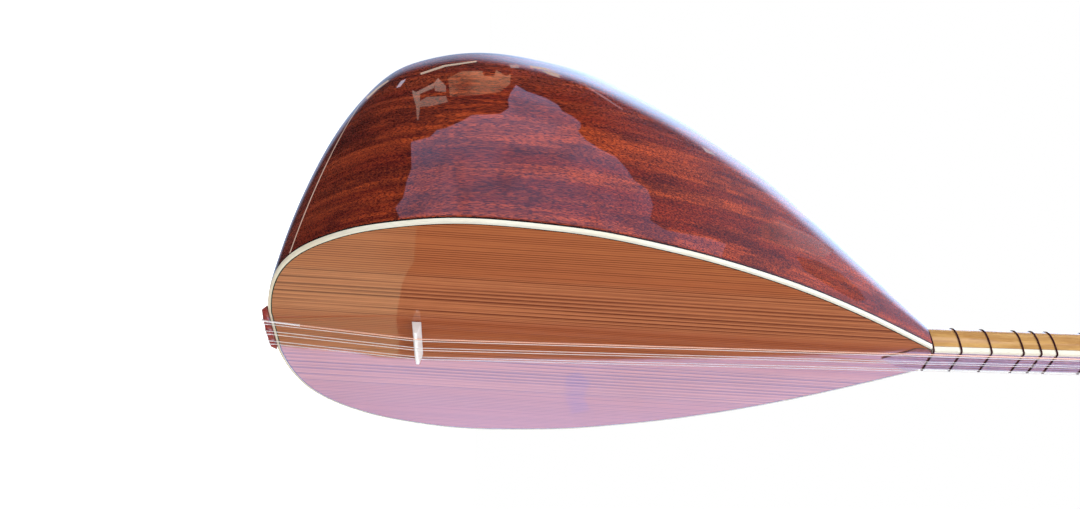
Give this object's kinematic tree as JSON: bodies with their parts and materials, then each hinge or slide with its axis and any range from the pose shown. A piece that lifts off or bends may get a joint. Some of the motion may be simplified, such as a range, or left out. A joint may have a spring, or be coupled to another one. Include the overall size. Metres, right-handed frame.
{
  "type": "divan saz",
  "caption": "Long-necked plucked lute with a deep carved pear-shaped bowl, tied movable frets, paired metal strings over a loose bridge, and wooden friction pegs",
  "frame": {"origin": "the middle of the flat back of the peg head, where a wall hanger or hand holds the instrument", "axes": "+Z runs along the neck from the bowl to the head, +Y is the back of the flat peg head, and the soundboard faces -Y"},
  "size_m": [0.3034, 0.2892, 1.3514],
  "materials": {
    "bowl": "glossy lacquer over carved mahogany",
    "tail_block": "glossy lacquer over dark mahogany",
    "tail_filet": "light maple line under lacquer",
    "soundboard": "glossy lacquer over straight-grained spruce",
    "inner_purfling": "dyed black line",
    "edge_binding": "polished cream binding",
    "outer_purfling": "dyed black line",
    "brace_upper": "bare spruce",
    "brace_lower": "bare spruce",
    "tailpiece": "glossy dark red mahogany",
    "neck": "glossy lacquer over honey coloured wood",
    "fingerboard": "polished dark rosewood",
    "neck_binding_bass": "polished cream binding",
    "neck_binding_treble": "polished cream binding",
    "nut": "polished bone",
    "peg_head": "glossy lacquer over mahogany",
    "string_1": "copper wound",
    "string_2": "plain steel wire",
    "string_3": "plain steel wire",
    "string_4": "plain steel wire",
    "string_5": "plain steel wire",
    "string_6": "plain steel wire",
    "bridge": "pale bare maple",
    "peg_1": "polished rosewood",
    "winding_1": "copper wound",
    "peg_2": "polished rosewood",
    "winding_2": "plain steel wire",
    "peg_3": "polished rosewood",
    "winding_3": "plain steel wire",
    "peg_4": "polished rosewood",
    "winding_4": "plain steel wire",
    "peg_5": "polished rosewood",
    "winding_5": "plain steel wire",
    "peg_6": "polished rosewood",
    "winding_6": "plain steel wire",
    "fret_01": "dark red tied line",
    "fret_02": "dark red tied line",
    "fret_03": "dark red tied line",
    "fret_04": "dark red tied line",
    "fret_05": "dark red tied line",
    "fret_06": "dark red tied line",
    "fret_07": "dark red tied line",
    "fret_08": "dark red tied line",
    "fret_09": "dark red tied line",
    "fret_10": "dark red tied line",
    "fret_11": "dark red tied line",
    "fret_12": "dark red tied line",
    "fret_13": "dark red tied line",
    "fret_14": "dark red tied line",
    "fret_15": "dark red tied line",
    "fret_16": "dark red tied line",
    "fret_17": "dark red tied line",
    "fret_18": "dark red tied line",
    "fret_19": "dark red tied line",
    "fret_20": "dark red tied line",
    "fret_21": "dark red tied line",
    "fret_22": "dark red tied line",
    "fret_23": "dark red tied line"
  },
  "bodies": {
    "instrument": {"bowl": "bowl", "tail_block": "tail_block", "tail_filet": "tail_filet", "soundboard": "soundboard", "inner_purfling": "inner_purfling", "edge_binding": "edge_binding", "outer_purfling": "outer_purfling", "brace_upper": "brace_upper", "brace_lower": "brace_lower", "tailpiece": "tailpiece", "neck": "neck", "fingerboard": "fingerboard", "neck_binding_bass": "neck_binding_bass", "neck_binding_treble": "neck_binding_treble", "nut": "nut", "peg_head": "peg_head", "string_1": "string_1", "string_2": "string_2", "string_3": "string_3", "string_4": "string_4", "string_5": "string_5", "string_6": "string_6"},
    "bridge": {"bridge": "bridge"},
    "tuning_peg_1": {"peg_1": "peg_1", "winding_1": "winding_1"},
    "tuning_peg_2": {"peg_2": "peg_2", "winding_2": "winding_2"},
    "tuning_peg_3": {"peg_3": "peg_3", "winding_3": "winding_3"},
    "tuning_peg_4": {"peg_4": "peg_4", "winding_4": "winding_4"},
    "tuning_peg_5": {"peg_5": "peg_5", "winding_5": "winding_5"},
    "tuning_peg_6": {"peg_6": "peg_6", "winding_6": "winding_6"},
    "fret_01": {"fret_01": "fret_01"},
    "fret_02": {"fret_02": "fret_02"},
    "fret_03": {"fret_03": "fret_03"},
    "fret_04": {"fret_04": "fret_04"},
    "fret_05": {"fret_05": "fret_05"},
    "fret_06": {"fret_06": "fret_06"},
    "fret_07": {"fret_07": "fret_07"},
    "fret_08": {"fret_08": "fret_08"},
    "fret_09": {"fret_09": "fret_09"},
    "fret_10": {"fret_10": "fret_10"},
    "fret_11": {"fret_11": "fret_11"},
    "fret_12": {"fret_12": "fret_12"},
    "fret_13": {"fret_13": "fret_13"},
    "fret_14": {"fret_14": "fret_14"},
    "fret_15": {"fret_15": "fret_15"},
    "fret_16": {"fret_16": "fret_16"},
    "fret_17": {"fret_17": "fret_17"},
    "fret_18": {"fret_18": "fret_18"},
    "fret_19": {"fret_19": "fret_19"},
    "fret_20": {"fret_20": "fret_20"},
    "fret_21": {"fret_21": "fret_21"},
    "fret_22": {"fret_22": "fret_22"},
    "fret_23": {"fret_23": "fret_23"}
  },
  "joints": [
    {"name": "bridge_shift", "type": "slide", "parent": "instrument", "child": "bridge", "axis": [0, -0.0192, 0.9998], "range_m": [-0.002, 0.002]},
    {"name": "peg_1_turn", "type": "hinge", "parent": "instrument", "child": "tuning_peg_1", "pos_m": [0, -0.0105, -0.071], "axis": [-1, 0, 0], "continuous": true},
    {"name": "peg_2_turn", "type": "hinge", "parent": "instrument", "child": "tuning_peg_2", "pos_m": [0, -0.0105, -0.036], "axis": [-1, 0, 0], "continuous": true},
    {"name": "peg_3_turn", "type": "hinge", "parent": "instrument", "child": "tuning_peg_3", "pos_m": [0, -0.0105, -0.001], "axis": [-1, 0, 0], "continuous": true},
    {"name": "peg_4_turn", "type": "hinge", "parent": "instrument", "child": "tuning_peg_4", "pos_m": [0, -0.017, -0.0535], "axis": [0, -1, 0], "continuous": true},
    {"name": "peg_5_turn", "type": "hinge", "parent": "instrument", "child": "tuning_peg_5", "pos_m": [0, -0.017, -0.0185], "axis": [0, -1, 0], "continuous": true},
    {"name": "peg_6_turn", "type": "hinge", "parent": "instrument", "child": "tuning_peg_6", "pos_m": [0, -0.017, 0.0165], "axis": [0, -1, 0], "continuous": true},
    {"name": "fret_01_shift", "type": "slide", "parent": "instrument", "child": "fret_01", "axis": [0, 0, 1], "range_m": [-0.004, 0.004]},
    {"name": "fret_02_shift", "type": "slide", "parent": "instrument", "child": "fret_02", "axis": [0, 0, 1], "range_m": [-0.004, 0.004]},
    {"name": "fret_03_shift", "type": "slide", "parent": "instrument", "child": "fret_03", "axis": [0, 0, 1], "range_m": [-0.004, 0.004]},
    {"name": "fret_04_shift", "type": "slide", "parent": "instrument", "child": "fret_04", "axis": [0, 0, 1], "range_m": [-0.004, 0.004]},
    {"name": "fret_05_shift", "type": "slide", "parent": "instrument", "child": "fret_05", "axis": [0, 0, 1], "range_m": [-0.004, 0.004]},
    {"name": "fret_06_shift", "type": "slide", "parent": "instrument", "child": "fret_06", "axis": [0, 0, 1], "range_m": [-0.004, 0.004]},
    {"name": "fret_07_shift", "type": "slide", "parent": "instrument", "child": "fret_07", "axis": [0, 0, 1], "range_m": [-0.004, 0.004]},
    {"name": "fret_08_shift", "type": "slide", "parent": "instrument", "child": "fret_08", "axis": [0, 0, 1], "range_m": [-0.004, 0.004]},
    {"name": "fret_09_shift", "type": "slide", "parent": "instrument", "child": "fret_09", "axis": [0, 0, 1], "range_m": [-0.004, 0.004]},
    {"name": "fret_10_shift", "type": "slide", "parent": "instrument", "child": "fret_10", "axis": [0, 0, 1], "range_m": [-0.004, 0.004]},
    {"name": "fret_11_shift", "type": "slide", "parent": "instrument", "child": "fret_11", "axis": [0, 0, 1], "range_m": [-0.004, 0.004]},
    {"name": "fret_12_shift", "type": "slide", "parent": "instrument", "child": "fret_12", "axis": [0, 0, 1], "range_m": [-0.004, 0.004]},
    {"name": "fret_13_shift", "type": "slide", "parent": "instrument", "child": "fret_13", "axis": [0, 0, 1], "range_m": [-0.004, 0.004]},
    {"name": "fret_14_shift", "type": "slide", "parent": "instrument", "child": "fret_14", "axis": [0, 0, 1], "range_m": [-0.004, 0.004]},
    {"name": "fret_15_shift", "type": "slide", "parent": "instrument", "child": "fret_15", "axis": [0, 0, 1], "range_m": [-0.004, 0.004]},
    {"name": "fret_16_shift", "type": "slide", "parent": "instrument", "child": "fret_16", "axis": [0, 0, 1], "range_m": [-0.004, 0.004]},
    {"name": "fret_17_shift", "type": "slide", "parent": "instrument", "child": "fret_17", "axis": [0, 0, 1], "range_m": [-0.004, 0.004]},
    {"name": "fret_18_shift", "type": "slide", "parent": "instrument", "child": "fret_18", "axis": [0, 0, 1], "range_m": [-0.004, 0.004]},
    {"name": "fret_19_shift", "type": "slide", "parent": "instrument", "child": "fret_19", "axis": [0, 0, 1], "range_m": [-0.004, 0.004]},
    {"name": "fret_20_shift", "type": "slide", "parent": "instrument", "child": "fret_20", "axis": [0, 0, 1], "range_m": [-0.004, 0.004]},
    {"name": "fret_21_shift", "type": "slide", "parent": "instrument", "child": "fret_21", "axis": [0, 0, 1], "range_m": [-0.004, 0.004]},
    {"name": "fret_22_shift", "type": "slide", "parent": "instrument", "child": "fret_22", "axis": [0, 0, 1], "range_m": [-0.004, 0.004]},
    {"name": "fret_23_shift", "type": "slide", "parent": "instrument", "child": "fret_23", "axis": [0, 0, 1], "range_m": [-0.0003, 0.004]}
  ]
}
